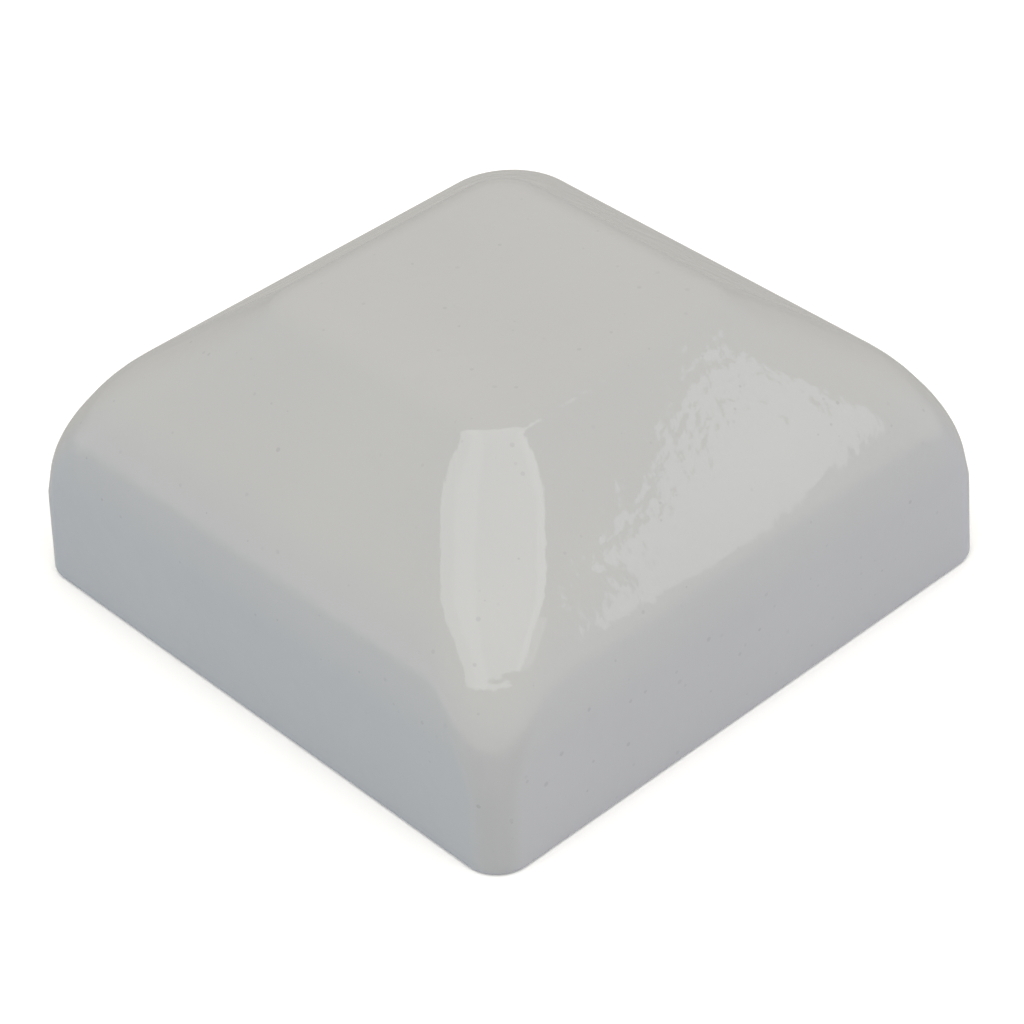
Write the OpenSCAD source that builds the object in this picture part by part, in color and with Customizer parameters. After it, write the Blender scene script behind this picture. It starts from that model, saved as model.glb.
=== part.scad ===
// Fence post cap with concealed fixing.
// A moulded square shell snaps over four spring clips on a base plate, and the plate is screwed to
// the top of the post. The origin is the centre of the shell's rim, +Z is up, and sizes are in mm.

/* [Shell] */
// Outside width of the skirt at its rim
cap_w = 108; // [107:0.5:109]
// Height from the rim to the flat top
cap_h = 51; // [50:0.5:56]
// Height at which the skirt and a roof face would meet without the shoulder rounding
skirt_h = 30; // [29:0.5:31]
// Width of the flat top between its creases
top_w = 50; // [46:0.5:52]
// How far each skirt wall leans inwards over its height
wall_lean = 1; // [0.6:0.1:1.2]
// Wall thickness of the moulding
wall_t = 2.5; // [2.2:0.1:2.8]
// Radius of the shoulder between a skirt wall and a roof face
shoulder_r = 22.5; // [20:0.5:24]
// Radius of the crease around the flat top
crease_r = 8; // [6:0.5:9]
// Radius of the skirt's vertical corners
corner_r = 6; // [5:0.5:8]
// Radius of the hips in plan at the shoulder, to which the corners open out above the skirt
hip_r = 12; // [9:0.5:14]
// Radius of the flat top's corners in plan, to which the hips close in near the top
peak_r = 5; // [4:0.5:8]

/* [Post] */
// Height of the post's top face above the shell's rim
seat_z = 18; // [17:0.5:18]
// Clear width between opposite locating ribs
socket_w = 101.2; // [100.8:0.1:101.4]

/* [Base plate] */
// Width of the base plate
plate_w = 90; // [88:1:92]
// Thickness of the plate's sheet metal
plate_t = 1.5; // [1.4:0.1:1.6]
// Distance from the centre to the outer face of a tab
tab_x = 40; // [39.8:0.1:40]
// Width of a tab
tab_w = 24; // [20:1:26]
// Radius of the vent hole in the plate
vent_r = 18; // [14:1:18]
// Distance between neighbouring screws
screw_pitch = 64; // [62:1:66]

/* [Fasteners] */
// Length of a screw under its head
screw_l = 20; // [16:0.5:20]
// Radius of a screw's thread
screw_r = 2; // [1.8:0.1:2.1]
// Radius of a rivet's shank
rivet_r = 1.5; // [1.2:0.1:1.6]

/* [Spring clips] */
// Width of the spring strip
clip_w = 16; // [12:1:18]
// Thickness of the spring strip
clip_t = 0.5; // [0.4:0.05:0.5]

/* [Hidden] */

eps = 0.01;
$fn = 64;

// Turn about +Z that carries the right-hand side, at +X, to each side
right = 0;
back = 90;
left = 180;
front = 270;

// Outward normals of the skirt and roof, as angles above the horizontal
skirt_normal = atan2(wall_lean, skirt_h);
roof_normal = 90 - atan2(cap_h - skirt_h, cap_w / 2 - wall_lean - top_w / 2);

// Section of the shell in the X-Z plane: the corners before rounding, then the arcs' centres
function unit(a) = [cos(a), sin(a)];
function inward(a, b) = -(unit(a) + unit(b)) / (1 + unit(a) * unit(b));
shoulder = [cap_w / 2 - wall_lean, skirt_h];
crease = [top_w / 2, cap_h];
shoulder_c = shoulder + shoulder_r * inward(skirt_normal, roof_normal);
crease_c = crease + crease_r * inward(roof_normal, 90);

// Height and sloping length of the roof over which the hips close in, up to the crease
peak_h = 8;
peak_l = 10;

// Steps along the shoulder and crease arcs, along the sloping length between, and around a corner
shoulder_steps = 10;
crease_steps = 4;
peak_steps = 5;
corner_steps = 8;

// Heights from the post's top up through the gasket, plate, bonded washer and screw head
gasket_t = 2;
plate_z = seat_z + gasket_t;
plate_top = plate_z + plate_t;
seal_t = 1;
cup_t = 0.7;
washer_top = plate_top + seal_t + cup_t;
washer_r = 5.5;
head_r = 4;
head_t = 2.6;

// Vertical bosses under the roof, at the corners of a square, and the bumpers in them
boss_xy = 20;
boss_r = 4;
boss_bore_r = 2;
boss_z = plate_top + 4.5;
boss_bore_top = boss_z + 12;
web_t = 1.6;

// The tab's bend and height, and the clip that is riveted to its outer face
bend_r = 1.5;
notch_w = tab_w + 4;
tab_top = plate_top + 10;
rivet_y = 4.5;
rivet_z = plate_top + 6;
rivet_gap = 0.05;
clip_bend_r = 1.75;
clip_bend = [tab_x + clip_t / 2 + clip_bend_r, tab_top - 0.5];
clip_split = 110;
leaf_angle = 40;
leaf_l = 8.7;
nose_r = 1;
nose_turn = 77;
return_l = 3;
leaf_start = clip_bend + clip_bend_r * unit(leaf_angle);
leaf_end = leaf_start + leaf_l * unit(leaf_angle - 90);
nose_c = leaf_end - nose_r * unit(leaf_angle);
return_angle = leaf_angle - nose_turn;

// The ridge inside each wall that sits just under a clip's nose
catch_l = 20;
catch_tip = nose_c + [0.65, -1.75];

// Placement helpers

module four_sides() {
    for (a = [right, back, left, front])
        rotate([0, 0, a]) children();
}

module four_corners(d) {
    for (x = [-d, d], y = [-d, d])
        translate([x, y, 0]) children();
}

// Extrudes a section drawn in X-Z along Y, centred
module along_y(l) {
    translate([0, l / 2, 0]) rotate([90, 0, 0]) linear_extrude(l) children();
}

module rounded_square(w, r) {
    square([w, w - 2 * r], center = true);
    square([w - 2 * r, w], center = true);
    four_corners(w / 2 - r) circle(r);
}

// Shell

// Half width at height z of the skirt's outer face, moved inwards by d
function skirt_x(d, z) = cap_w / 2 - d - z * wall_lean / skirt_h;

// Points of the shell's outer section, moved inwards by d, from below the rim to the flat top
function section(d, low) = concat(
    [[skirt_x(d, low), low]],
    [for (i = [0:shoulder_steps])
        shoulder_c + (shoulder_r - d)
            * unit(skirt_normal + (roof_normal - skirt_normal) * i / shoulder_steps)],
    [for (i = [peak_steps:-1:1])
        crease_c + (crease_r - d) * unit(roof_normal)
            + peak_l * i / peak_steps * unit(roof_normal - 90)],
    [for (i = [0:crease_steps])
        crease_c + (crease_r - d) * unit(roof_normal + (90 - roof_normal) * i / crease_steps)]
);

// Corner radius at a height: constant up the skirt, opening out over the shoulder, closing in at the top
function corner_at(z) =
    z < skirt_h
        ? corner_r + (hip_r - corner_r) * max(0, (z - skirt_h / 2) / (skirt_h / 2))
        : hip_r + (peak_r - hip_r) * pow(max(0, (z - cap_h + peak_h) / peak_h), 2);

// A level of the form: a rounded square of half width x with corner radius r, at height z
function level(x, z, r) = [
    for (q = [0:3], i = [0:corner_steps])
        let (centre = (x - r) * sqrt(2) * unit(90 * q + 45), a = 90 * (q + i / corner_steps))
            [each centre + r * unit(a), z]
];

// The shell's outer form, moved inwards by d, as a solid from height low. Neighbouring levels have
// parallel edges, so every face between them is flat.
module form(d, low) {
    levels = section(d, low);
    n = 4 * (corner_steps + 1);
    top = n * (len(levels) - 1);
    polyhedron(
        points = [for (p = levels) each level(p[0], p[1], corner_at(p[1]) - d)],
        faces = concat(
            [[for (i = [0:n - 1]) i]],
            [for (k = [0:n:top - 1], i = [0:n - 1])
                let (j = (i + 1) % n)
                    [k + i, k + n + i, k + n + j, k + j]],
            [[for (i = [n - 1:-1:0]) top + i]]
        )
    );
}

// Ribs that centre the post, rooted in the middle of the wall, with a lead-in at the lower end
module locating_ribs() {
    low = 1.5;
    high = seat_z - 1;
    inner = socket_w / 2;
    for (y = [-30, 30])
        translate([0, y, 0])
            along_y(2)
                polygon([
                    [skirt_x(wall_t / 2, low), low], [inner + 0.6, low],
                    [inner, low + 2.5], [inner, high], [skirt_x(wall_t / 2, high), high],
                ]);
}

// A ridge for a clip's nose to hold. Its lower flank runs at 45 degrees to the middle of the wall.
module catch_ridge() {
    lower = catch_tip + [0, -0.6];
    run = skirt_x(wall_t / 2, skirt_h * 2 / 3) - lower[0];
    along_y(catch_l)
        polygon([catch_tip, catch_tip + [1.6, 3.2], lower + [run, -run], lower]);
}

// A web that stands on the diagonal under a hip, from a boss to the corner. Its upper edge follows
// the middle of the wall: a level of half width x and corner radius r reaches sqrt(2) (x - r) + r.
module hip_web() {
    web_z = boss_z + 4;
    mid = wall_t / 2;
    edge = [
        for (p = section(mid, 0))
            let (r = corner_at(p[1]) - mid)
                if (p[1] > web_z) [sqrt(2) * (p[0] - r) + r, p[1]]
    ];
    rotate([0, 0, 45])
        along_y(web_t)
            polygon(concat(
                [[sqrt(2) * boss_xy, web_z], [edge[0][0], web_z]],
                edge,
                [[sqrt(2) * boss_xy, cap_h - mid]]
            ));
}

module roof_ribs() {
    rib_top = cap_h - wall_t + 0.5;
    rib_h = 5;
    four_corners(boss_xy) translate([0, 0, boss_z]) cylinder(r = boss_r, h = rib_top - boss_z);
    four_sides() {
        translate([boss_xy - web_t / 2, -boss_xy, rib_top - rib_h]) cube([web_t, 2 * boss_xy, rib_h]);
        hip_web();
    }
}

module outer_shell() {
    color([0.75, 0.75, 0.74])
        difference() {
            union() {
                difference() {
                    form(0, 0);
                    form(wall_t, -1);
                }
                roof_ribs();
                four_sides() {
                    locating_ribs();
                    catch_ridge();
                }
            }
            four_corners(boss_xy)
                translate([0, 0, boss_z - 1]) cylinder(r = boss_bore_r, h = boss_bore_top - boss_z + 1);
        }
}

// A rubber bumper: its head bears on the plate and its stem is held in a boss
module bumper(x, y) {
    stem_r = boss_bore_r - 0.03;
    color([0.12, 0.12, 0.13]) translate([x * boss_xy, y * boss_xy, 0]) {
        translate([0, 0, plate_top]) cylinder(r1 = 3.6, r2 = 4.4, h = 1);
        translate([0, 0, plate_top + 1]) cylinder(r = 4.4, h = boss_z - plate_top - 1);
        translate([0, 0, boss_z]) cylinder(r = stem_r, h = 7);
        translate([0, 0, boss_z + 7]) cylinder(r1 = stem_r, r2 = 1.2, h = 2);
    }
}

// Base plate and what fixes it

module base_plate() {
    bend_x = tab_x - plate_t - bend_r;
    color([0.66, 0.67, 0.69]) {
        translate([0, 0, plate_z])
            linear_extrude(plate_t)
                difference() {
                    rounded_square(plate_w, 5);
                    circle(vent_r);
                    four_corners(screw_pitch / 2) circle(screw_r + 0.25);
                    four_sides()
                        translate([bend_x, -notch_w / 2]) square([plate_w, notch_w]);
                }
        // raised collar around the vent hole
        translate([0, 0, plate_top])
            rotate_extrude()
                translate([vent_r, -eps]) square([plate_t, 2.5]);
        four_sides() {
            // the sheet runs on to the bend, turns up, and stands as a riveted tab
            translate([bend_x - 1, -tab_w / 2, plate_z]) cube([1 + eps, tab_w, plate_t]);
            along_y(tab_w)
                translate([bend_x, plate_top + bend_r])
                    intersection() {
                        difference() {
                            circle(bend_r + plate_t);
                            circle(bend_r);
                        }
                        translate([0, -10]) square(10);
                    }
            difference() {
                translate([tab_x - plate_t, -tab_w / 2, plate_top + bend_r - eps])
                    cube([plate_t, tab_w, tab_top - plate_top - bend_r]);
                rivet_holes();
            }
        }
    }
}

module rivet_holes() {
    for (y = [-rivet_y, rivet_y])
        translate([tab_x - 5, y, rivet_z])
            rotate([0, 90, 0]) cylinder(r = rivet_r + rivet_gap, h = 10);
}

module end_gasket() {
    color([0.16, 0.16, 0.17])
        translate([0, 0, seat_z])
            linear_extrude(gasket_t)
                difference() {
                    rounded_square(plate_w - 2, 5);
                    circle(vent_r + 3);
                    four_corners(screw_pitch / 2) circle(screw_r + 0.05);
                    four_sides()
                        translate([tab_x - 5, -notch_w / 2 - 1]) square([plate_w, notch_w + 2]);
                }
}

// A dome of foot radius r that rises by rise
module dome(r, rise) {
    ball_r = (r * r + rise * rise) / (2 * rise);
    intersection() {
        translate([0, 0, rise - ball_r]) sphere(ball_r);
        cylinder(r = r, h = rise);
    }
}

module plate_screws() {
    tip_l = 4;
    thread_top = seat_z - washer_top;
    rim_t = 1.2;
    slot = [4.6, 0.9, 1.6];
    color([0.75, 0.76, 0.78])
        four_corners(screw_pitch / 2)
            translate([0, 0, washer_top]) {
                // head with a cross recess
                difference() {
                    union() {
                        cylinder(r = head_r, h = rim_t);
                        translate([0, 0, rim_t]) dome(head_r, head_t - rim_t);
                    }
                    for (a = [0, 90])
                        rotate([0, 0, a])
                            translate([-slot[0] / 2, -slot[1] / 2, head_t - slot[2]])
                                cube(slot);
                }
                // plain shank through the plate, then the thread's outside radius in the post, then the tip
                translate([0, 0, thread_top]) cylinder(r = screw_r - 0.1, h = -thread_top);
                translate([0, 0, tip_l - screw_l])
                    cylinder(r = screw_r, h = thread_top + screw_l - tip_l);
                translate([0, 0, -screw_l]) cylinder(r1 = 0.2, r2 = screw_r, h = tip_l);
            }
}

// Bonded washers: a coned steel cup over a rubber face, both turned from X-Z sections
cup_drop = 0.4;
cup_bore_r = screw_r + 0.2;
seal_r = washer_r - 0.3;
function cup_under(r) = washer_top - cup_t - cup_drop * (r - cup_bore_r) / (washer_r - cup_bore_r);

module washer_cups() {
    color([0.72, 0.73, 0.75])
        four_corners(screw_pitch / 2)
            rotate_extrude()
                polygon([
                    [cup_bore_r, cup_under(cup_bore_r)],
                    [washer_r, cup_under(washer_r)],
                    [washer_r, cup_under(washer_r) + cup_t],
                    [cup_bore_r, washer_top],
                ]);
}

module washer_seals() {
    color([0.1, 0.1, 0.11])
        four_corners(screw_pitch / 2)
            rotate_extrude()
                polygon([
                    [cup_bore_r, plate_top],
                    [seal_r, plate_top],
                    [seal_r, cup_under(seal_r)],
                    [cup_bore_r, cup_under(cup_bore_r)],
                ]);
}

module clip_rivets() {
    grip = plate_t + clip_t;
    head_rise = 0.9;
    color([0.78, 0.78, 0.8])
        four_sides()
            for (y = [-rivet_y, rivet_y])
                translate([tab_x - plate_t, y, rivet_z])
                    rotate([0, 90, 0]) {
                        translate([0, 0, -eps]) cylinder(r = rivet_r, h = grip + 2 * eps);
                        translate([0, 0, grip]) dome(2.7, head_rise);
                        mirror([0, 0, 1]) dome(2.5, head_rise);
                    }
}

// Spring clips

// Arc of the strip about the origin, with the strip's middle at radius r
module strip_arc(r, from, to) {
    reach = 2 * (r + clip_t);
    intersection() {
        difference() {
            circle(r + clip_t / 2);
            circle(r - clip_t / 2);
        }
        polygon([
            [0, 0],
            reach * unit(from),
            reach * unit((from + to) / 2),
            reach * unit(to),
        ]);
    }
}

// Straight stretch of the strip from a point of its middle line, run a hair into its neighbours
module strip_run(start, heading, l) {
    translate(start) rotate(heading) translate([-eps, -clip_t / 2]) square([l + 2 * eps, clip_t]);
}

module clip_foot(side) {
    foot_low = plate_top + 2.5;
    color([0.6, 0.62, 0.66])
        rotate([0, 0, side])
            difference() {
                along_y(clip_w) {
                    strip_run([tab_x + clip_t / 2, foot_low], 90, clip_bend[1] - foot_low);
                    translate(clip_bend) strip_arc(clip_bend_r, clip_split, 180);
                }
                rivet_holes();
            }
}

module clip_leaf(side) {
    color([0.6, 0.62, 0.66])
        rotate([0, 0, side])
            along_y(clip_w) {
                translate(clip_bend) strip_arc(clip_bend_r, leaf_angle, clip_split);
                strip_run(leaf_start, leaf_angle - 90, leaf_l);
                translate(nose_c) strip_arc(nose_r, return_angle, leaf_angle);
                strip_run(nose_c + nose_r * unit(return_angle), return_angle - 90, return_l);
            }
}

outer_shell();
bumper(1, -1);  // bumper_front_right
bumper(1, 1);  // bumper_back_right
bumper(-1, 1);  // bumper_back_left
bumper(-1, -1);  // bumper_front_left
base_plate();
end_gasket();
plate_screws();
washer_cups();
washer_seals();
clip_rivets();
clip_foot(front);  // clip_foot_front
clip_foot(right);  // clip_foot_right
clip_foot(back);  // clip_foot_back
clip_foot(left);  // clip_foot_left
clip_leaf(front);  // clip_leaf_front
clip_leaf(right);  // clip_leaf_right
clip_leaf(back);  // clip_leaf_back
clip_leaf(left);  // clip_leaf_left
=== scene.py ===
"""A fence post cap with concealed fixing, on a plain pale floor: its looks, built on the CAD frame."""

import math

import bmesh
import bpy
from mathutils import Matrix, Vector, noise


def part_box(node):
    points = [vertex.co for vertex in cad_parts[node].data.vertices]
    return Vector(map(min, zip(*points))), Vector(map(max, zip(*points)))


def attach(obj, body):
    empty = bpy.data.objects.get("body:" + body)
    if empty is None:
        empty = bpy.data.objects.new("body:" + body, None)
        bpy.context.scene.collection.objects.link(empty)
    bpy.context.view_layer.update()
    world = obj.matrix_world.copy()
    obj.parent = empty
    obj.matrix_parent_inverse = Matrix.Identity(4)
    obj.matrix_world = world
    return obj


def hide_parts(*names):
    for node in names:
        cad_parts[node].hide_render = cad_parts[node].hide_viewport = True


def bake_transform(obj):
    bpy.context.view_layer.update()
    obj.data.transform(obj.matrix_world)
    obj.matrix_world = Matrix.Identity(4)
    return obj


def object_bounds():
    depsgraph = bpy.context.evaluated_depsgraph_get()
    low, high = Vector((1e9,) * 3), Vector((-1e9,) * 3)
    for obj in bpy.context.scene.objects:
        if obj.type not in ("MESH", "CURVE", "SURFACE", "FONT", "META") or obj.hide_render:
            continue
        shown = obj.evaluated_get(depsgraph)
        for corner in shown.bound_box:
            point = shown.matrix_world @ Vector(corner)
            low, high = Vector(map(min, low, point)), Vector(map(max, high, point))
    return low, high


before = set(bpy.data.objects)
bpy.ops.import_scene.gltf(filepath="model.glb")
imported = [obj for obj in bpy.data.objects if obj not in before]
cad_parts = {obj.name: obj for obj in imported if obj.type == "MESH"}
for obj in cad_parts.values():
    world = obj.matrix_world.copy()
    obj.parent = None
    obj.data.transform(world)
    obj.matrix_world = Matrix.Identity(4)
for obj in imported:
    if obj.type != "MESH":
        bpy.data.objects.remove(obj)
cad_low, cad_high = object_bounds()

MM = 0.001  # metres in a millimetre; shapes are drawn in mm and scaled as they become meshes

# The turn about +Z that carries the right-hand side, at +X, to each side, and each corner's signs of X and Y
SIDES = {"right": 0, "back": 90, "left": 180, "front": 270}
CORNERS = {
    "front_right": (1, -1),
    "back_right": (1, 1),
    "back_left": (-1, 1),
    "front_left": (-1, -1),
}


def low_mm(node):
    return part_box(node)[0] / MM


def high_mm(node):
    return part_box(node)[1] / MM


# Sizes in mm. Places are read from the frame, and the sections' own dimensions are the part's.

# Shell
CAP_HALF = high_mm("outer_shell").x
CAP_H = high_mm("outer_shell").z
SKIRT_H, TOP_HALF, LEAN, WALL = 30.0, 25.0, 1.0, 2.5
SHOULDER_R, CREASE_R, CORNER_R, HIP_R = 22.5, 8.0, 6.0, 12.0
PEAK_R, PEAK_H = 5.0, 8.0  # the hips close in to this radius over this height under the flat top
SOCKET_HALF = 50.6
LOCATING_RIB_Y, LOCATING_RIB_T = 30.0, 2.0
CATCH_L = 20.0

# Gasket and plate
SEAT_Z = low_mm("end_gasket").z
PLATE_Z = low_mm("base_plate").z
PLATE_HALF = high_mm("base_plate").x
TAB_TOP = high_mm("base_plate").z
PLATE_T, PLATE_CORNER_R, TAB_X, TAB_W, VENT_R, COLLAR_H = 1.5, 5.0, 40.0, 24.0, 18.0, 2.5
PLATE_TOP = PLATE_Z + PLATE_T
BEND_R = 1.5
BEND_X = TAB_X - PLATE_T - BEND_R
NOTCH_W = TAB_W + 4

# Screws and bonded washers
SCREW_PITCH = 64.0
SCREW_XY = (high_mm("washer_cups").x + low_mm("washer_cups").x) / 2 + SCREW_PITCH / 2
WASHER_R = high_mm("washer_cups").x - SCREW_XY
WASHER_TOP = high_mm("washer_cups").z
SCREW_TIP = low_mm("plate_screws").z
HEAD_TOP = high_mm("plate_screws").z
SCREW_R, HEAD_R = 2.0, 4.0
CUP_BORE_R, CUP_DROP, CUP_T = SCREW_R + 0.2, 0.4, 0.7

# Bosses, bumpers and the ribs under the roof
BOSS_XY = (low_mm("bumper_back_right").x + high_mm("bumper_back_right").x) / 2
BOSS_Z = PLATE_TOP + 4.5
BOSS_R, BORE_R = 4.0, 2.0
WEB_T = 1.6
RIB_H = 5.0
RIB_TOP = CAP_H - WALL + 0.5  # ribs and bosses run half a millimetre into the roof

# Rivets and clips
RIVET_Y, RIVET_Z, RIVET_R = 4.5, PLATE_TOP + 6, 1.5
CLIP_W, CLIP_T = 16.0, 0.5
CLIP_FOOT_Z = PLATE_TOP + 2.5
CLIP_BEND_R = 1.75
CLIP_BEND = (TAB_X + CLIP_T / 2 + CLIP_BEND_R, TAB_TOP - 0.5)
LEAF_ANGLE, LEAF_L, NOSE_R, NOSE_TURN, RETURN_L = 40.0, 8.7, 1.0, 77.0, 3.0

# Steps: around the shell's corners and along its sides, around round pieces, and along a clip
CORNER_STEPS, SIDE_STEPS = 14, 44
VENT_STEPS, WASHER_STEPS, HOLE_STEPS, ROUND_STEPS, DOME_STEPS = 96, 56, 40, 48, 12
FOOT_STEPS, BEND_STEPS, LEAF_STEPS, NOSE_STEPS, RETURN_STEPS = 24, 28, 12, 14, 8


# Mesh helpers


def unit(angle):
    return (math.cos(math.radians(angle)), math.sin(math.radians(angle)))


def turned(point, angle):
    """A point turned about +Z."""
    c, s = unit(angle)
    return (point[0] * c - point[1] * s, point[0] * s + point[1] * c, point[2])


def turn_matrix(angle):
    return Matrix.Rotation(math.radians(angle), 4, "Z")


def link(name, data):
    """A new object with this data, in the scene."""
    obj = bpy.data.objects.new(name, data)
    bpy.context.scene.collection.objects.link(obj)
    return obj


def make(name, points, faces):
    """A mesh object from points in mm, with its normals facing outwards."""
    weld = 1e-7
    mesh = bpy.data.meshes.new(name)
    mesh.from_pydata([tuple(c * MM for c in p) for p in points], [], faces)
    bm = bmesh.new()
    bm.from_mesh(mesh)
    bmesh.ops.remove_doubles(bm, verts=bm.verts, dist=weld)
    bmesh.ops.recalc_face_normals(bm, faces=bm.faces)
    bm.to_mesh(mesh)
    bm.free()
    return link(name, mesh)


def skin(name, rings, closed=False):
    """Faces between rings of equally many points, with capped ends, or closed from last ring to first."""
    n = len(rings[0])
    points = [p for ring in rings for p in ring]
    count = len(rings)
    faces = []
    for k in range(count if closed else count - 1):
        a, b = k * n, (k + 1) % count * n
        faces += [[a + i, a + (i + 1) % n, b + (i + 1) % n, b + i] for i in range(n)]
    if not closed:
        faces += [list(range(n)), list(range((count - 1) * n, count * n))]
    return make(name, points, faces)


def prism(name, outline, length, y, turn):
    """An outline drawn in X-Z, extruded along Y about y, then turned about +Z."""
    rings = [[turned((x, y + s * length / 2, z), turn) for x, z in outline] for s in (-1, 1)]
    return skin(name, rings)


def block(name, x0, x1, z0, z1, length, turn):
    """A box with its length along Y, centred, then turned about +Z."""
    return prism(name, [(x0, z0), (x1, z0), (x1, z1), (x0, z1)], length, 0, turn)


def slab(name, outline, z0, z1):
    """An outline drawn in X-Y, extruded from z0 to z1."""
    return skin(name, [[(x, y, z) for x, y in outline] for z in (z0, z1)])


def lathe(name, profile, at=(0, 0, 0), axis="Z", steps=ROUND_STEPS, closed=False):
    """A profile of (radius, height) turned about an axis through at. A closed profile is a ring's section."""
    rings = []
    for r, h in profile:
        ring_points = []
        for i in range(steps):
            c, s = unit(360 * i / steps)
            p = {"Z": (r * c, r * s, h), "X": (h, r * c, r * s)}[axis]
            ring_points.append(tuple(a + b for a, b in zip(p, at)))
        rings.append(ring_points)
    return skin(name, rings, closed)


def rounded_square(half, r, steps):
    """A square's outline with its corners rounded, one arc of steps + 1 points after another."""
    points = []
    for q in range(4):
        centre = [(half - r) * math.sqrt(2) * c for c in unit(90 * q + 45)]
        for i in range(steps + 1):
            c, s = unit(90 * (q + i / steps))
            points.append((centre[0] + r * c, centre[1] + r * s))
    return points


def circle(r, steps, x=0.0, y=0.0):
    return [(x + r * unit(360 * i / steps)[0], y + r * unit(360 * i / steps)[1]) for i in range(steps)]


def arc(centre, r, a, b, steps):
    """Points of an arc from angle a to angle b."""
    angles = [a + (b - a) * i / steps for i in range(steps + 1)]
    return [(centre[0] + r * unit(t)[0], centre[1] + r * unit(t)[1]) for t in angles]


def between(p, q, steps):
    """Points strictly between p and q."""
    return [tuple(a + (b - a) * i / steps for a, b in zip(p, q)) for i in range(1, steps)]


def apply_modifiers(obj):
    bpy.context.view_layer.update()
    evaluated = obj.evaluated_get(bpy.context.evaluated_depsgraph_get())
    mesh = bpy.data.meshes.new_from_object(evaluated)
    obj.modifiers.clear()
    old = obj.data
    obj.data = mesh
    bpy.data.meshes.remove(old)
    mesh.name = obj.name


def combine(obj, parts, operation):
    """Adds or cuts the parts, one after another, and removes them."""
    for part in parts:
        m = obj.modifiers.new(part.name, "BOOLEAN")
        m.object = part
        m.operation = operation
        m.solver = "MANIFOLD"
    apply_modifiers(obj)
    for part in parts:
        bpy.data.objects.remove(part)


def soften(obj, width):
    """Rounds the sharp edges."""
    m = obj.modifiers.new("edges", "BEVEL")
    m.width = width * MM
    m.segments = 2
    m.limit_method = "ANGLE"
    m.angle_limit = math.radians(50)
    m.use_clamp_overlap = True
    apply_modifiers(obj)


def smooth(obj, angle):
    """Shades the faces as one surface, except over edges that turn by more than the angle."""
    obj.data.shade_smooth()
    obj.data.set_sharp_from_angle(angle=math.radians(angle))
    return obj


def join(name, parts):
    """One mesh object from several that don't touch."""
    bm = bmesh.new()
    for part in parts:
        bm.from_mesh(part.data)
        bpy.data.objects.remove(part)
    mesh = bpy.data.meshes.new(name)
    bm.to_mesh(mesh)
    bm.free()
    return link(name, mesh)


# Shell

SKIRT_NORMAL = math.degrees(math.atan2(LEAN, SKIRT_H))
ROOF_NORMAL = 90 - math.degrees(math.atan2(CAP_H - SKIRT_H, CAP_HALF - LEAN - TOP_HALF))


def arc_centre(corner, r, a, b):
    """Centre of the arc of radius r that rounds a corner between faces with normals a and b."""
    (ax, az), (bx, bz) = unit(a), unit(b)
    k = r / (1 + ax * bx + az * bz)
    return (corner[0] - k * (ax + bx), corner[1] - k * (az + bz))


SHOULDER_C = arc_centre((CAP_HALF - LEAN, SKIRT_H), SHOULDER_R, SKIRT_NORMAL, ROOF_NORMAL)
CREASE_C = arc_centre((TOP_HALF, CAP_H), CREASE_R, ROOF_NORMAL, 90)


def corner_at(z):
    """Corner radius at a height: constant low on the skirt, then opening out, and closing in at the top."""
    if z < SKIRT_H:
        return CORNER_R + (HIP_R - CORNER_R) * max(0, (z - SKIRT_H / 2) / (SKIRT_H / 2))
    return HIP_R + (PEAK_R - HIP_R) * max(0, (z - CAP_H + PEAK_H) / PEAK_H) ** 2


def skirt_x(d, z):
    """Half width of the skirt at a height, moved inwards by d."""
    return CAP_HALF - d - z * LEAN / SKIRT_H


def section(d, fine):
    """The shell's section from the rim to the flat top's edge, moved inwards by d, as (half width, height).

    The fine one has a rounded rim, and the other a small lead-in for the post.
    """
    shoulder = arc(SHOULDER_C, SHOULDER_R - d, SKIRT_NORMAL, ROOF_NORMAL, 26 if fine else 14)
    crease = arc(CREASE_C, CREASE_R - d, ROOF_NORMAL, 90, 10 if fine else 5)
    if fine:
        rim_r = 0.5
        foot = [
            (skirt_x(d, 0) - rim_r + rim_r * unit(t)[1], rim_r - rim_r * unit(t)[0])
            for t in (0, 22.5, 45, 67.5, 90)
        ]
    else:
        lead = 0.3
        foot = [(skirt_x(d, 0) + lead, 0), (skirt_x(d, lead), lead)]
    skirt = between(foot[-1], shoulder[0], 14 if fine else 3)
    roof = between(shoulder[-1], crease[0], 18 if fine else 9)
    return foot + skirt + shoulder + roof + crease


def ring(x, z, r):
    """A level of the form: a rounded square of half width x and corner radius r at height z."""
    corners = [(*p, z) for p in rounded_square(x, r, CORNER_STEPS)]
    points = []
    for q in range(4):
        points += corners[q * (CORNER_STEPS + 1) : (q + 1) * (CORNER_STEPS + 1)]
        following = turned((x, x - r, z), 90 * (q + 1))
        points += between(points[-1], following, SIDE_STEPS)
    return points


def face_rings(d, fine, flat_steps):
    """Levels of the outer face moved inwards by d, from the rim to a small square amid the flat top."""
    levels = [(x, z, corner_at(z) - d) for x, z in section(d, fine)]
    x, z, r = levels[-1]
    levels += [(x * k / flat_steps, z, r * k / flat_steps) for k in range(flat_steps - 1, 0, -1)]
    return [ring(*level) for level in levels]


def ripple(p):
    """The faint waviness of a thin moulded wall, in mm."""
    q = Vector(p)
    return 0.012 * noise.noise(q * 0.07) + 0.002 * noise.noise(q * 0.31 + Vector((7, 3, 5)))


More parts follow.
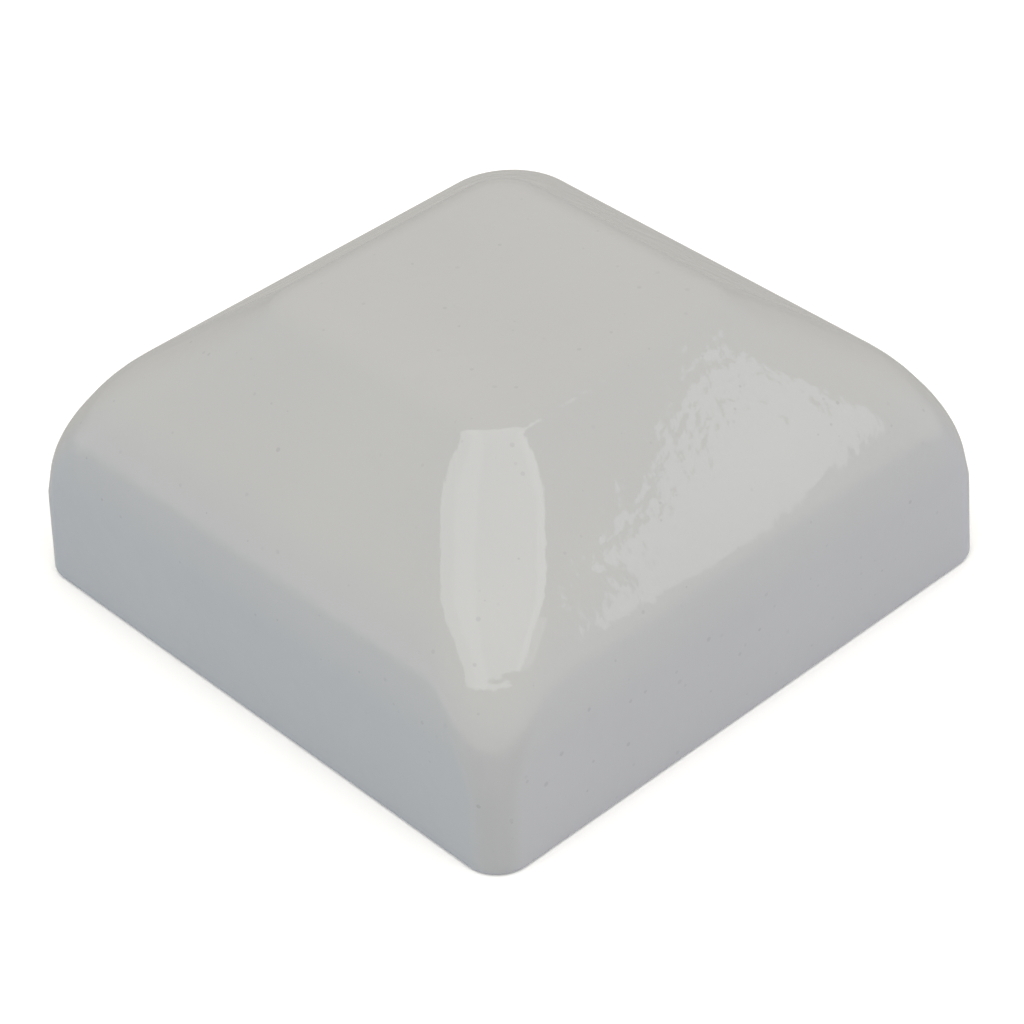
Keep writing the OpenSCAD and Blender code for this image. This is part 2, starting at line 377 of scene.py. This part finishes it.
def shell_skin():
    """Outer and inner faces in one closed mesh, the outer one with its waviness above the rim."""
    outer = face_rings(0, True, 14)
    inner = face_rings(WALL, False, 4)
    shell = skin("shell", outer[::-1] + inner)
    vertices = list(shell.data.vertices)
    normals = [v.normal.copy() for v in vertices]
    for v, normal in zip(vertices[: len(outer) * len(outer[0])], normals):
        if v.co.z > MM:
            v.co += normal * ripple(v.co / MM) * MM
    return shell


def strip_arc(centre, r, a, b, steps):
    """An arc of a spring strip's middle line, as (x, z, heading of its outer normal)."""
    headings = [a + (b - a) * i / steps for i in range(steps + 1)]
    return [(x, z, heading) for (x, z), heading in zip(arc(centre, r, a, b, steps), headings)]


def strip_path():
    """Middle line of the spring strip on the right-hand side, and the centre of its nose's arc."""
    bend = strip_arc(CLIP_BEND, CLIP_BEND_R, 180, LEAF_ANGLE, BEND_STEPS)
    leaf_end = tuple(bend[-1][i] + LEAF_L * unit(LEAF_ANGLE - 90)[i] for i in (0, 1))
    nose_c = tuple(leaf_end[i] - NOSE_R * unit(LEAF_ANGLE)[i] for i in (0, 1))
    last = LEAF_ANGLE - NOSE_TURN
    nose = strip_arc(nose_c, NOSE_R, LEAF_ANGLE, last, NOSE_STEPS)
    foot = (bend[0][0], CLIP_FOOT_Z, 180)
    end = (*(nose[-1][i] + RETURN_L * unit(last - 90)[i] for i in (0, 1)), last)
    path = [foot] + between(foot, bend[0], FOOT_STEPS) + bend
    path += between(bend[-1], nose[0], LEAF_STEPS) + nose
    return path + between(nose[-1], end, RETURN_STEPS) + [end], nose_c


PATH, NOSE_C = strip_path()
CATCH_TIP = (NOSE_C[0] + 0.65, NOSE_C[1] - 1.75)  # the edge of the ridge that sits under the nose


def locating_rib(y, turn):
    low, high, root = 1.5, SEAT_Z - 1, SOCKET_HALF + 2
    outline = [
        (root, low), (SOCKET_HALF + 0.6, low), (SOCKET_HALF, low + 2.5),
        (SOCKET_HALF, high - 0.3), (SOCKET_HALF + 0.3, high), (root, high),
    ]
    return prism("locating_rib", outline, LOCATING_RIB_T, y, turn)


def catch_ridge(turn):
    x, z = CATCH_TIP
    outline = [(x, z), (x + 1.6, z + 3.2), (x + 3, z - 3.6), (x + 0.15, z - 0.75), (x, z - 0.6)]
    return prism("catch", outline, CATCH_L, 0, turn)


def hip_web(turn):
    """A web on the diagonal, from a boss to the middle of the wall along the hip."""
    web_z, mid = BOSS_Z + 4, WALL / 2
    edge = []
    for x, z in section(mid, False):
        if z > web_z:
            r = corner_at(z) - mid
            edge.append((math.sqrt(2) * (x - r) + r, z))
    start = math.sqrt(2) * BOSS_XY
    outline = [(start, web_z), (edge[0][0], web_z)] + edge + [(start, CAP_H - mid)]
    return prism("web", outline, WEB_T, 0, turn)


def build_shell():
    shell = shell_skin()
    ribs = []
    for turn in SIDES.values():
        ribs += [locating_rib(y, turn) for y in (-LOCATING_RIB_Y, LOCATING_RIB_Y)]
        ribs.append(catch_ridge(turn))
        ribs.append(block(
            "rib", BOSS_XY - WEB_T / 2, BOSS_XY + WEB_T / 2, RIB_TOP - RIB_H, RIB_TOP, 2 * BOSS_XY, turn,
        ))
        ribs.append(hip_web(turn + 45))
    places = [(x * BOSS_XY, y * BOSS_XY, 0) for x, y in CORNERS.values()]
    boss = [
        (0, BOSS_Z), (BOSS_R - 0.3, BOSS_Z), (BOSS_R, BOSS_Z + 0.3), (BOSS_R + 0.1, RIB_TOP), (0, RIB_TOP),
    ]
    ribs += [lathe("boss", boss, place) for place in places]
    combine(shell, ribs, "UNION")
    bore = [
        (0, BOSS_Z - 1), (BORE_R + 1.3, BOSS_Z - 1), (BORE_R, BOSS_Z + 0.3), (BORE_R, BOSS_Z + 11),
        (0, BOSS_Z + 12),
    ]
    cuts = [lathe("bore", bore, place) for place in places]
    # marks of four ejector pins and of the gate inside the flat roof
    inner_roof = CAP_H - WALL
    for x, y, r in ((11, 0, 2.5), (-11, 0, 2.5), (0, 11, 2.5), (0, -11, 2.5), (0, 0, 1.6)):
        mark = [(0, inner_roof - 1), (r + 0.1, inner_roof - 1), (r, inner_roof + 0.2), (0, inner_roof + 0.2)]
        cuts.append(lathe("pin_mark", mark, (x, y, 0)))
    combine(shell, cuts, "DIFFERENCE")
    return smooth(shell, 38)


# Materials


class Nodes:
    """A material's node tree, with one call for each step."""

    def __init__(self, name):
        self.material = bpy.data.materials.new(name)
        self.material.use_nodes = True
        self.tree = self.material.node_tree
        self.tree.nodes.clear()
        self.out = self.add("ShaderNodeOutputMaterial")
        self.bsdf = self.add("ShaderNodeBsdfPrincipled")
        self.tree.links.new(self.bsdf.outputs[0], self.out.inputs["Surface"])
        self.coord = self.add("ShaderNodeTexCoord").outputs["Object"]

    def add(self, kind, **values):
        node = self.tree.nodes.new(kind)
        for key, value in values.items():
            setattr(node, key, value)
        return node

    def feed(self, socket, value):
        if isinstance(value, bpy.types.NodeSocket):
            self.tree.links.new(value, socket)
        else:
            socket.default_value = value

    def set(self, **inputs):
        for key, value in inputs.items():
            self.feed(self.bsdf.inputs[key.replace("_", " ")], value)

    def noise(self, scale, detail=3.0, rough=0.5, stretch=(1, 1, 1), distort=0.0):
        mapping = self.add("ShaderNodeMapping")
        self.feed(mapping.inputs["Vector"], self.coord)
        mapping.inputs["Scale"].default_value = stretch
        node = self.add("ShaderNodeTexNoise")
        self.feed(node.inputs["Vector"], mapping.outputs[0])
        self.feed(node.inputs["Scale"], scale)
        self.feed(node.inputs["Detail"], detail)
        self.feed(node.inputs["Roughness"], rough)
        self.feed(node.inputs["Distortion"], distort)
        return node.outputs["Fac"]

    def specks(self, scale, share, size):
        """Round specks of varied strength, in a share of a grid's cells and of up to this radius in cells."""
        node = self.add("ShaderNodeTexVoronoi")
        self.feed(node.inputs["Vector"], self.coord)
        self.feed(node.inputs["Scale"], scale)
        self.feed(node.inputs["Randomness"], 1.0)
        split = self.add("ShaderNodeSeparateColor")
        self.feed(split.inputs[0], node.outputs["Color"])
        chosen = self.math("LESS_THAN", split.outputs[0], share)
        radius = self.math("MULTIPLY", split.outputs[1], size)
        near = self.remap(self.math("SUBTRACT", node.outputs["Distance"], radius), -0.02, 0.02, 1.0, 0.0)
        speck = self.math("MULTIPLY", chosen, near)
        return self.math("MULTIPLY", speck, self.remap(split.outputs[2], 0, 1, 0.15, 0.8))

    def math(self, operation, a, b):
        node = self.add("ShaderNodeMath", operation=operation)
        self.feed(node.inputs[0], a)
        self.feed(node.inputs[1], b)
        return node.outputs[0]

    def remap(self, value, from_low, from_high, to_low, to_high):
        node = self.add("ShaderNodeMapRange")
        sockets = ("Value", "From Min", "From Max", "To Min", "To Max")
        for socket, v in zip(sockets, (value, from_low, from_high, to_low, to_high)):
            self.feed(node.inputs[socket], v)
        return node.outputs[0]

    def mix(self, fac, a, b):
        node = self.add("ShaderNodeMix", data_type="RGBA")
        self.feed(node.inputs[0], fac)
        for socket, colour in ((node.inputs[6], a), (node.inputs[7], b)):
            self.feed(socket, (*colour, 1.0) if isinstance(colour, tuple) else colour)
        return node.outputs[2]

    def bump(self, height, distance, after=None):
        """A normal from a height, in metres per unit, on top of another normal."""
        node = self.add("ShaderNodeBump")
        self.feed(node.inputs["Height"], height)
        self.feed(node.inputs["Distance"], distance)
        if after is not None:
            self.feed(node.inputs["Normal"], after)
        return node.outputs[0]


def shell_plastic():
    """Glossy pale moulding: an orange peel, cloudy gloss, faint grime, hairline scuffs and fine specks."""
    m = Nodes("shell_plastic")
    cloud = m.noise(28, 3)
    tone = m.mix(m.remap(cloud, 0.3, 0.7, 0, 1), (0.347, 0.348, 0.346), (0.357, 0.358, 0.354))
    grime = m.remap(m.noise(60, 5, 0.65), 0.62, 0.8, 0, 0.10)
    tone = m.mix(grime, tone, (0.27, 0.27, 0.265))
    specks = m.math("MAXIMUM", m.specks(300, 0.35, 0.13), m.specks(620, 0.14, 0.22))
    tone = m.mix(m.math("MULTIPLY", specks, 0.22), tone, (0.10, 0.10, 0.10))
    scuff = m.remap(m.noise(70, 6, 0.7, (1, 6, 3), 0.6), 0.62, 0.74, 0, 1)
    rough = m.remap(m.noise(45, 4), 0.3, 0.7, 0.018, 0.03)
    rough = m.math("ADD", rough, m.math("MULTIPLY", scuff, 0.05))
    rough = m.math("ADD", rough, m.math("MULTIPLY", specks, 0.3))
    peel = m.bump(m.noise(430, 2, 0.5), 0.00003)
    peel = m.bump(m.noise(170, 2, 0.5), 0.00008, after=peel)
    m.set(Base_Color=tone, Roughness=rough, IOR=1.6, Normal=peel)
    return m.material


def rubber(name, colour, bloom, grain, pores=False):
    """Matt black rubber with a grey bloom; a foam also has open pores, bumped in and painted near-black as
    the shade inside them.
    """
    m = Nodes(name)
    patch = m.remap(m.noise(160, 5, 0.6), 0.45, 0.75, 0, 1)
    base = m.mix(patch, colour, bloom)
    height = m.noise(grain, 4, 0.6)
    normal = m.bump(height, 0.00002)
    if pores:
        hole = m.specks(1400, 0.55, 0.30)
        # painted shade: the pores are coloured near-black for the shade in the open cells, on top of their
        # bump
        base = m.mix(hole, base, (0.008, 0.008, 0.009))
        normal = m.bump(m.math("SUBTRACT", 1.0, hole), 0.00012, after=normal)
    rough_low, rough_high = (0.82, 0.95) if pores else (0.55, 0.75)
    rough = m.remap(m.noise(300, 3), 0.3, 0.7, rough_low, rough_high)
    m.set(Base_Color=base, Roughness=rough, Normal=normal)
    m.bsdf.inputs["Specular IOR Level"].default_value = 0.35
    return m.material


def metal(name, colour, dull, rough, grain, tint=None):
    """Bare metal with a drawn grain, fingerprints and duller patches."""
    m = Nodes(name)
    patch = m.remap(m.noise(90, 5, 0.6), 0.45, 0.72, 0, 1)
    base = m.mix(patch, colour, dull)
    if tint is not None:
        base = m.mix(m.remap(m.noise(35, 3), 0.5, 0.8, 0, 0.6), base, tint)
    lines = m.noise(420, 4, 0.65, grain)
    across = (grain[1], grain[0], grain[2])
    scratch = m.remap(m.noise(260, 5, 0.7, across, 0.4), 0.66, 0.74, 0, 1)
    drawn = m.remap(lines, 0.3, 0.7, rough - 0.07, rough + 0.07)
    roughness = m.math("ADD", drawn, m.math("MULTIPLY", patch, 0.1))
    roughness = m.math("ADD", roughness, m.math("MULTIPLY", scratch, 0.12))
    normal = m.bump(lines, 0.000006)
    normal = m.bump(m.math("SUBTRACT", 1.0, scratch), 0.000008, after=normal)
    m.set(Base_Color=base, Metallic=1.0, Roughness=roughness, Normal=normal)
    return m.material


def dress(obj, material, body, slot, *nodes):
    """Gives a piece its material, its body and the CAD nodes that it stands for; the slot argument is not
    used.
    """
    obj.data.materials.clear()
    obj.data.materials.append(material)
    if body:
        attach(obj, body)
    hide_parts(*nodes)


# Pieces on the base plate


def tab_outline(x0):
    """Section of the sheet from x0 in the plate, round the bend and up to the tab's top."""
    c = (BEND_X, PLATE_TOP + BEND_R)
    outer = arc(c, BEND_R + PLATE_T, 270, 360, 10)
    inner = arc(c, BEND_R, 360, 270, 10)
    top = [(TAB_X, TAB_TOP), (TAB_X - PLATE_T, TAB_TOP)]
    return [(x0, PLATE_Z)] + outer + top + inner + [(x0, PLATE_TOP)]


def screw_holes(r, z0, z1):
    places = [(x * SCREW_XY, y * SCREW_XY) for x, y in CORNERS.values()]
    return [slab("screw_hole", circle(r, HOLE_STEPS, *place), z0, z1) for place in places]


def rivet_holes(turn):
    """Cutters for the two rivets of one side."""
    r, x0, x1 = RIVET_R + 0.05, TAB_X - 5, TAB_X + 5
    holes = []
    for y in (-RIVET_Y, RIVET_Y):
        hole = lathe("hole", [(0, x0), (r, x0), (r, x1), (0, x1)], (0, y, RIVET_Z), "X", HOLE_STEPS)
        hole.data.transform(turn_matrix(turn))
        holes.append(hole)
    return holes


def build_plate():
    plate = slab("base_plate_sheet", rounded_square(PLATE_HALF, PLATE_CORNER_R, 12), PLATE_Z, PLATE_TOP)
    low, high = PLATE_Z - 1, PLATE_TOP + 1
    combine(plate, [
        block("notch", BEND_X, PLATE_HALF + 5, low, high, NOTCH_W, turn) for turn in SIDES.values()
    ], "DIFFERENCE")
    added = [prism("tab", tab_outline(BEND_X - 2), TAB_W, 0, turn) for turn in SIDES.values()]
    lip = PLATE_TOP + COLLAR_H
    added.append(lathe("collar", [
        (VENT_R - 1, PLATE_TOP - 1), (VENT_R + 3.2, PLATE_TOP - 1), (VENT_R + 2.6, PLATE_TOP),
        (VENT_R + 1.9, PLATE_TOP + 0.35), (VENT_R + PLATE_T, PLATE_TOP + 1.1), (VENT_R + PLATE_T, lip),
        (VENT_R - 1, lip),
    ], steps=VENT_STEPS, closed=True))
    combine(plate, added, "UNION")
    cuts = [slab("vent", circle(VENT_R, VENT_STEPS), low, lip + 1)]
    cuts += screw_holes(SCREW_R + 0.25, low, high)
    for turn in SIDES.values():
        cuts += rivet_holes(turn)
    combine(plate, cuts, "DIFFERENCE")
    soften(plate, 0.14)
    return smooth(plate, 35)


def build_gasket():
    half = PLATE_HALF - 1
    gasket = slab("foam_gasket", rounded_square(half, PLATE_CORNER_R, 12), SEAT_Z, PLATE_Z)
    low, high = SEAT_Z - 1, PLATE_Z + 1
    cuts = [slab("centre", circle(VENT_R + 3, VENT_STEPS), low, high)]
    cuts += screw_holes(SCREW_R + 0.05, low, high)
    cuts += [block("cut_out", TAB_X - 5, half + 5, low, high, NOTCH_W + 2, turn) for turn in SIDES.values()]
    combine(gasket, cuts, "DIFFERENCE")
    soften(gasket, 0.2)
    return smooth(gasket, 35)


def build_screw(name, x, y, turn):
    """A pan-head wood screw: a domed head with a cross recess, and a thread that tapers into a point."""
    rim = WASHER_TOP + 1.2
    rise = HEAD_TOP - rim
    ball = (HEAD_R**2 + rise**2) / (2 * rise)
    dome = [(0, HEAD_TOP)]
    for i in range(1, DOME_STEPS + 1):
        r = (HEAD_R - 0.25) * i / DOME_STEPS
        dome.append((r, HEAD_TOP - ball + math.sqrt(ball**2 - r**2)))
    side = [(HEAD_R, rim - 0.1), (HEAD_R, WASHER_TOP + 0.3), (HEAD_R - 0.25, WASHER_TOP), (0, WASHER_TOP)]
    head = lathe(name, dome + side, steps=WASHER_STEPS)
    deep, top = HEAD_TOP - 1.6, HEAD_TOP + 0.3
    recess = [(-1.1, deep), (1.1, deep), (2.3, top), (-2.3, top)]
    combine(head, [prism("arm", recess, 0.9, 0, a) for a in (0, 90)], "DIFFERENCE")
    combine(head, [screw_thread()], "UNION")
    head.data.transform(Matrix.Translation(Vector((x, y, 0)) * MM) @ turn_matrix(turn))
    return head


def screw_thread():
    """The threaded shank: its thread fades out under the washer, and its radius closes in to the tip."""
    pitch, core, cols, rows = 1.75, 1.35, 36, 150
    top = WASHER_TOP + 0.4
    rings = []
    for j in range(rows + 1):
        z = SCREW_TIP + (top - SCREW_TIP) * j / rows
        taper = min(1.0, (z - SCREW_TIP) / 4.0 + 0.04)
        fade = min(1.0, max(0.0, (WASHER_TOP - 0.6 - z) / 1.0))
        points = []
        for i in range(cols):
            phase = ((z - SCREW_TIP) / pitch - i / cols) % 1.0
            crest = max(0.0, 1 - abs(phase - 0.5) / 0.30)
            flank = crest * crest * (3 - 2 * crest)
            r = (core + (SCREW_R - 0.02 - core) * flank * fade) * taper
            c, s = unit(360 * i / cols)
            points.append((r * c, r * s, z))
        rings.append(points)
    return skin("thread", rings)


def build_cup(name, x, y):
    """The coned steel cup of a bonded washer."""
    bore = CUP_BORE_R
    under = WASHER_TOP - CUP_T
    edge = under - CUP_DROP
    profile = [
        (bore, under + 0.1), (bore + 0.1, under), (WASHER_R - 0.15, edge), (WASHER_R, edge + 0.12),
        (WASHER_R, edge + CUP_T - 0.2), (WASHER_R - 0.2, edge + CUP_T), (bore + 0.15, WASHER_TOP),
        (bore, WASHER_TOP - 0.12),
    ]
    return lathe(name, profile, (x, y, 0), steps=WASHER_STEPS, closed=True)


def build_seal(name, x, y):
    """The rubber face under a bonded washer's cup."""
    bore, seal_r = CUP_BORE_R, WASHER_R - 0.3
    under = WASHER_TOP - CUP_T
    edge = under - CUP_DROP * (seal_r - bore) / (WASHER_R - bore)
    profile = [
        (bore, PLATE_TOP + 0.1), (bore + 0.1, PLATE_TOP), (seal_r - 0.15, PLATE_TOP),
        (seal_r, PLATE_TOP + 0.15), (seal_r, edge - 0.01), (bore, under - 0.01),
    ]
    return lathe(name, profile, (x, y, 0), steps=WASHER_STEPS, closed=True)


def build_rivet(name, y, turn):
    """A blind rivet: a domed head with the broken mandrel sunk in it, and the head set inside the tab."""
    out, inside = TAB_X + CLIP_T, TAB_X - PLATE_T
    profile = [
        (0, out + 0.35), (0.75, out + 0.35), (0.8, out + 0.83), (1.0, out + 0.88), (1.8, out + 0.62),
        (2.45, out + 0.28), (2.68, out + 0.1), (2.66, out + 0.01), (RIVET_R, out + 0.01),
        (RIVET_R, inside - 0.01), (2.45, inside - 0.01), (2.48, inside - 0.15), (2.2, inside - 0.45),
        (1.5, inside - 0.72), (0.9, inside - 0.85), (0, inside - 0.9),
    ]
    rivet = lathe(name, profile, (0, y, RIVET_Z), "X", HOLE_STEPS)
    rivet.data.transform(turn_matrix(turn))
    return rivet


def build_bumper(node, x, y):
    """A rubber bumper: a flared head with a sink in its face, and a stem with two ribs."""
    top = high_mm(node).z
    r = BORE_R - 0.05
    profile = [
        (0, PLATE_TOP + 0.12), (2.4, PLATE_TOP + 0.1), (2.7, PLATE_TOP), (3.4, PLATE_TOP),
        (3.65, PLATE_TOP + 0.12), (4.3, PLATE_TOP + 0.9), (4.4, PLATE_TOP + 1.2), (4.4, BOSS_Z - 0.35),
        (4.1, BOSS_Z - 0.03), (r, BOSS_Z - 0.03), (r - 0.25, BOSS_Z + 1), (r - 0.25, BOSS_Z + 2),
        (r, BOSS_Z + 2.5), (r - 0.25, BOSS_Z + 3), (r - 0.25, BOSS_Z + 4.5), (r, BOSS_Z + 5),
        (r - 0.25, BOSS_Z + 5.5), (r - 0.3, BOSS_Z + 7), (1.2, top - 0.2), (0.9, top), (0, top),
    ]
    return smooth(lathe(node + "_rubber", profile, (x * BOSS_XY, y * BOSS_XY, 0)), 32)


def build_clip(name, turn):
    """One bent strip, its edges rounded and its free corners trimmed."""
    length = [0.0]
    for p, q in zip(PATH, PATH[1:]):
        length.append(length[-1] + math.dist(p[:2], q[:2]))
    h, e, f, trim = CLIP_T / 2, 0.1, 0.03, 1.5
    rings = []
    for (x, z, heading), s in zip(PATH, length):
        near = min(s, length[-1] - s)
        half = CLIP_W / 2 - (trim - math.sqrt(max(0.0, trim**2 - (trim - min(near, trim)) ** 2)))
        c, sn = unit(heading)
        cross = [
            (-half + e, -h), (half - e, -h), (half - f, -h + f), (half, -h + e),
            (half, h - e), (half - f, h - f), (half - e, h), (-half + e, h),
            (-half + f, h - f), (-half, h - e), (-half, -h + e), (-half + f, -h + f),
        ]
        rings.append([turned((x + o * c, y, z + o * sn), turn) for y, o in cross])
    clip = skin(name, rings)
    combine(clip, rivet_holes(turn), "DIFFERENCE")
    return smooth(clip, 35)


# Build and place everything

plastic = shell_plastic()
sheet_steel = metal("sheet_steel", (0.58, 0.585, 0.59), (0.42, 0.425, 0.43), 0.34, (1, 14, 1))
screw_steel = metal("screw_steel", (0.62, 0.62, 0.62), (0.45, 0.45, 0.44), 0.26, (2, 2, 9))
cup_steel = metal("cup_steel", (0.60, 0.60, 0.61), (0.44, 0.44, 0.45), 0.30, (3, 3, 3))
aluminium = metal("aluminium", (0.72, 0.73, 0.74), (0.5, 0.51, 0.52), 0.36, (2, 2, 2))
straw = (0.44, 0.39, 0.32)  # the tint that tempering leaves on spring steel
strip_steel = metal("strip_steel", (0.50, 0.50, 0.51), (0.36, 0.36, 0.36), 0.22, (1, 1, 12), straw)
foam = rubber("foam", (0.028, 0.028, 0.030), (0.045, 0.045, 0.047), 900, pores=True)
buffer_rubber = rubber("buffer_rubber", (0.022, 0.022, 0.024), (0.045, 0.045, 0.047), 1200)
seal_rubber = rubber("seal_rubber", (0.016, 0.016, 0.017), (0.035, 0.035, 0.036), 1500)

shell = build_shell()
dress(shell, plastic, "shell", "shell_plastic", "outer_shell")
for corner, (x, y) in CORNERS.items():
    node = f"bumper_{corner}"
    dress(build_bumper(node, x, y), buffer_rubber, "shell", "bumper_rubber", node)

dress(build_plate(), sheet_steel, "base", "plate_steel", "base_plate")
dress(build_gasket(), foam, "base", "gasket_foam", "end_gasket")

places = [(x * SCREW_XY, y * SCREW_XY) for x, y in CORNERS.values()]
screw_turns = (12, 71, 38, 55)  # each screw stopped at its own angle
screws = join("wood_screws", [
    build_screw(f"screw_{i}", *place, turn) for i, (place, turn) in enumerate(zip(places, screw_turns))
])
dress(smooth(screws, 32), screw_steel, "base", "screw_steel", "plate_screws")
cups = join("cup_washers", [build_cup(f"cup_{i}", *place) for i, place in enumerate(places)])
dress(smooth(cups, 32), cup_steel, "base", "washer_steel", "washer_cups")
seals = join("seal_faces", [build_seal(f"seal_{i}", *place) for i, place in enumerate(places)])
dress(smooth(seals, 32), seal_rubber, "base", "washer_rubber", "washer_seals")
rivets = join("blind_rivets", [
    build_rivet(f"rivet_{side}_{y:+.0f}", y, turn)
    for side, turn in SIDES.items()
    for y in (-RIVET_Y, RIVET_Y)
])
dress(smooth(rivets, 32), aluminium, "base", "rivet_aluminium", "clip_rivets")

# Each strip bends between its foot and its leaf, over the arc at its top
for side, turn in SIDES.items():
    clip = build_clip(f"clip_{side}_strip", turn)
    dress(clip, strip_steel, None, "spring_steel", f"clip_foot_{side}", f"clip_leaf_{side}")
    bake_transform(clip)


# Stage: floor, camera and light


def stage_floor():
    half, gap = 6.0, 0.0002  # half its width, and how far below the rim it lies
    mesh = bpy.data.meshes.new("floor")
    corners = [(-half, -half, 0), (half, -half, 0), (half, half, 0), (-half, half, 0)]
    mesh.from_pydata(corners, [], [(0, 1, 2, 3)])
    floor = link("floor", mesh)
    floor.location.z = cad_low.z - gap
    m = Nodes("floor_paper")
    m.set(Base_Color=(0.93, 0.93, 0.93, 1), Roughness=0.9)
    m.bsdf.inputs["Specular IOR Level"].default_value = 0.1
    mesh.materials.append(m.material)
    floor.visible_glossy = False  # the gloss of the cap mirrors the dim studio, and not the bright paper


# The view: turned from square-on, looking down, and rolled, in degrees; distance and aim in cap widths
CAM_TURN, CAM_UP, CAM_ROLL = 41.79, 38.1416, -2.9181
CAM_DISTANCE, AIM_RIGHT, AIM_UP = 5.1254, 0.0063, 0.0637
SENSOR, LENS = 36.0, 120.49418  # mm


def camera_axes():
    e, roll = math.radians(CAM_UP), math.radians(CAM_ROLL)
    square_on = Matrix.Rotation(math.radians(-CAM_TURN), 3, "Z")
    ahead = square_on @ Vector((0, math.cos(e), -math.sin(e)))
    right = square_on @ Vector((1, 0, 0))
    up = square_on @ Vector((0, math.sin(e), math.cos(e)))
    rolled_right = right * math.cos(roll) + up * math.sin(roll)
    rolled_up = -right * math.sin(roll) + up * math.cos(roll)
    return ahead, right, up, rolled_right, rolled_up


AHEAD, RIGHT, UP, ROLLED_RIGHT, ROLLED_UP = camera_axes()
BACK = Vector((AHEAD.x, AHEAD.y, 0)).normalized()  # away from the camera, along the floor
ZENITH = Vector((0, 0, 1))


def stage_camera():
    data = bpy.data.cameras.new("camera")
    data.sensor_width = SENSOR
    data.lens = LENS
    camera = link("camera", data)
    width = (cad_high - cad_low).x
    centre = Vector(((cad_low.x + cad_high.x) / 2, (cad_low.y + cad_high.y) / 2, cad_low.z))
    place = centre + (-CAM_DISTANCE * AHEAD + AIM_RIGHT * RIGHT + AIM_UP * UP) * width
    axes = Matrix((ROLLED_RIGHT, ROLLED_UP, -AHEAD)).transposed()
    camera.matrix_world = Matrix.Translation(place) @ axes.to_4x4()
    data.clip_start, data.clip_end = 0.01, 50
    bpy.context.scene.camera = camera


def spot(right, back, up):
    """A place in the studio, in metres from the cap as the camera sees it."""
    return RIGHT * right + BACK * back + ZENITH * up


def softbox(name, place, width, depth, radiance, colour=(1, 1, 1)):
    """A rectangular light that faces down, with its depth running away from the camera."""
    data = bpy.data.lights.new(name, "AREA")
    data.shape = "RECTANGLE"
    data.size, data.size_y = width, depth
    data.energy = radiance * math.pi * width * depth
    data.color = colour
    side = BACK.cross(ZENITH).normalized()
    axes = Matrix((side, ZENITH.cross(side), ZENITH)).transposed()
    link(name, data).matrix_world = Matrix.Translation(place) @ axes.to_4x4()


def window(name, outline, radiance, colour):
    """A flat glowing sheet, whose outline runs through the places given."""
    glow = bpy.data.materials.new(name)
    glow.use_nodes = True
    tree = glow.node_tree
    tree.nodes.clear()
    light = tree.nodes.new("ShaderNodeEmission")
    light.inputs["Color"].default_value = (*colour, 1)
    light.inputs["Strength"].default_value = radiance
    tree.links.new(light.outputs[0], tree.nodes.new("ShaderNodeOutputMaterial").inputs["Surface"])
    sheet = make(name, [place / MM for place in outline], [tuple(range(len(outline)))])
    sheet.data.materials.append(glow)
    sheet.visible_camera = False


def stage_world():
    """An even, pale room over a darker ground, bluer towards the sides and warmer overhead."""
    world = bpy.data.worlds.new("studio")
    bpy.context.scene.world = world
    world.use_nodes = True
    tree = world.node_tree
    direction = tree.nodes.new("ShaderNodeTexCoord").outputs["Generated"]

    def towards(axis, low, high):
        """0 to 1 as the direction turns towards an axis, between two cosines."""
        dot = tree.nodes.new("ShaderNodeVectorMath")
        dot.operation = "DOT_PRODUCT"
        tree.links.new(direction, dot.inputs[0])
        dot.inputs[1].default_value = axis
        step = tree.nodes.new("ShaderNodeMapRange")
        tree.links.new(dot.outputs["Value"], step.inputs["Value"])
        step.inputs["From Min"].default_value = low
        step.inputs["From Max"].default_value = high
        return step.outputs[0]

    def mix(fac, a, b):
        node = tree.nodes.new("ShaderNodeMix")
        node.data_type = "RGBA"
        tree.links.new(fac, node.inputs[0])
        for socket, colour in ((node.inputs[6], a), (node.inputs[7], b)):
            if isinstance(colour, tuple):
                socket.default_value = (*colour, 1)
            else:
                tree.links.new(colour, socket)
        return node.outputs[2]

    # the walls from left to right, then behind the cap and behind the camera, and the zenith over them
    above = mix(towards(RIGHT, -0.8, 0.8), (0.94, 1.02, 1.09), (1.04, 1.06, 1.11))
    above = mix(towards(BACK, 0.35, 0.9), above, (0.67, 0.63, 0.57))
    above = mix(towards(-BACK, 0.3, 1.0), above, (0.78, 0.80, 0.83))
    above = mix(towards(ZENITH, 0.15, 0.6), above, (1.01, 0.98, 0.93))
    # the ground from left to right, then on the camera's side and behind the cap
    below = mix(towards(RIGHT, -0.6, 0.6), (0.30, 0.46, 0.66), (0.55, 0.59, 0.80))
    below = mix(towards(-BACK, 0.3, 0.7), below, (0.10, 0.17, 0.30))
    below = mix(towards(BACK, 0.3, 0.8), below, (0.53, 0.52, 0.49))
    colour = mix(towards(ZENITH, -0.09, 0.05), below, above)
    tree.links.new(colour, tree.nodes["Background"].inputs["Color"])


def stage_light():
    """A bright ceiling on the camera's side, with brighter strips in it, and a slanted window."""
    softbox("ceiling", spot(-0.015, -0.525, 1.2), 1.83, 1.45, 1.22, (0.99, 1.0, 1.0))
    softbox("ceiling_strip_left", spot(-0.42, -0.525, 1.19), 0.34, 1.45, 0.3)
    softbox("ceiling_strip_right", spot(0.76, -0.6, 1.19), 0.2, 1.3, 0.35)
    softbox("ceiling_side", spot(1.15, -0.8, 1.2), 0.5, 0.9, 0.6)
    # the flat of the right roof face mirrors the window's upper edge, so its image has a ragged side
    window("window", (
        spot(0.586, -0.040, 0.611), spot(0.598, 0.066, 0.611), spot(0.618, 0.068, 0.579),
        spot(0.859, -0.237, 0.111), spot(0.807, -0.273, 0.193), spot(0.755, -0.252, 0.286),
    ), 1.85, (0.98, 1.0, 1.02))
    bpy.context.scene.view_settings.view_transform = "Standard"


stage_floor()
stage_camera()
stage_world()
stage_light()
